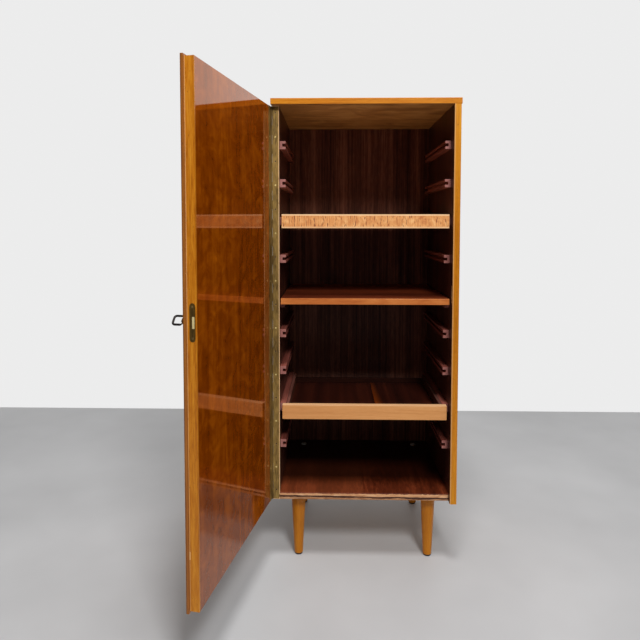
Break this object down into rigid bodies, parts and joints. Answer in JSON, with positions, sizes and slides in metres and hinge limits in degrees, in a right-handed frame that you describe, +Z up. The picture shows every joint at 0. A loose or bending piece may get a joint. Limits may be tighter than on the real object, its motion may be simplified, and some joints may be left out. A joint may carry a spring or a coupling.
{
  "type": "record cabinet",
  "caption": "Tall narrow record cabinet on turned legs, its veneered door open on a continuous hinge, with grooved runners, a middle shelf, a pull-out shelf and a tray.",
  "frame": {"origin": "on the ground, below the middle of the whole cabinet's bounding box with its door open as in the picture", "axes": "+Z up along the cabinet's height, -Y out of the cabinet's open front, +X to the right for someone facing the front"},
  "size_m": [0.6534, 0.8742, 1.272],
  "materials": {
    "honey_veneer": "honey-brown varnished veneer, satin",
    "dark_veneer": "dark red-brown stained veneer, satin",
    "lacquered_veneer": "dark orange veneer under glossy lacquer",
    "raw_wood": "worn bare edge strip, matt",
    "stained_runner": "reddish stained, matt",
    "blockboard": "bare blockboard with streaky end grain, matt",
    "beech": "orange-brown beech, satin",
    "turned_wood": "golden brown varnished turning, satin",
    "aged_brass": "dulled brass",
    "steel": "plain steel",
    "black_plastic": "black glide",
    "black_iron": "near-black metal key"
  },
  "bodies": {
    "cabinet": {"side_left": "honey_veneer", "side_right": "honey_veneer", "top_panel": "honey_veneer", "bottom_panel": "dark_veneer", "bottom_lipping": "raw_wood", "back_panel": "dark_veneer", "strike_plate": "aged_brass", "leg_front_left": "turned_wood", "leg_front_right": "turned_wood", "leg_back_left": "turned_wood", "leg_back_right": "turned_wood", "glide_front_left": "black_plastic", "glide_front_right": "black_plastic", "glide_back_left": "black_plastic", "glide_back_right": "black_plastic", "leg_bolt_back_left": "steel", "leg_bolt_back_right": "steel", "runner_left_1": "stained_runner", "runner_right_1": "stained_runner", "runner_left_2": "stained_runner", "runner_right_2": "stained_runner", "runner_left_3": "stained_runner", "runner_right_3": "stained_runner", "runner_left_4": "stained_runner", "runner_right_4": "stained_runner", "runner_left_6": "stained_runner", "runner_right_6": "stained_runner", "runner_left_7": "stained_runner", "runner_right_7": "stained_runner", "runner_left_8": "stained_runner", "runner_right_8": "stained_runner", "runner_left_9": "stained_runner", "runner_right_9": "stained_runner", "middle_shelf": "dark_veneer", "middle_shelf_lipping": "beech", "bearer_left": "stained_runner", "bearer_right": "stained_runner", "hinge_leaf_cabinet": "aged_brass", "hinge_pin": "steel"},
    "door": {"door_core": "lacquered_veneer", "door_lipping": "honey_veneer", "door_skin": "honey_veneer", "hinge_leaf_door": "aged_brass", "lock_case": "steel", "lock_faceplate": "aged_brass", "escutcheon": "aged_brass"},
    "bolt": {"lock_bolt": "steel"},
    "key": {"key_shank": "black_iron"},
    "bow": {"key_bow": "black_iron"},
    "shelf": {"shelf_core": "blockboard", "shelf_upper_ply": "beech", "shelf_lower_ply": "beech"},
    "tray": {"tray_front": "beech", "tray_side_left": "beech", "tray_side_right": "beech", "tray_back": "dark_veneer", "tray_floor_left": "dark_veneer", "tray_floor_right": "dark_veneer"}
  },
  "joints": [
    {"name": "door_hinge", "type": "hinge", "parent": "cabinet", "child": "door", "pos_m": [-0.17805, 0.03612, 0.71775], "axis": [0, 0, -1], "range_deg": [-101, 75]},
    {"name": "shelf_slide", "type": "slide", "parent": "cabinet", "child": "shelf", "axis": [0, -1, 0], "range_m": [0, 0.25]},
    {"name": "tray_slide", "type": "slide", "parent": "cabinet", "child": "tray", "axis": [0, -1, 0], "range_m": [0, 0.25]},
    {"name": "key_turn", "type": "hinge", "parent": "door", "child": "key", "pos_m": [-0.29257, -0.40947, 0.752], "axis": [0.9816, -0.1908, 0], "range_deg": [0, 90]},
    {"name": "bolt_slide", "type": "slide", "parent": "door", "child": "bolt", "axis": [-0.1908, -0.9816, 0], "range_m": [0, 0.009]},
    {"name": "key_fold", "type": "hinge", "parent": "key", "child": "bow", "pos_m": [-0.30435, -0.40718, 0.752], "axis": [0.1226, 0.631, 0.766], "range_deg": [-90, 90]}
  ],
  "couplings": [
    {"joint": "key_turn", "follows": "bolt_slide", "rad_per_m": 174.53}
  ]
}
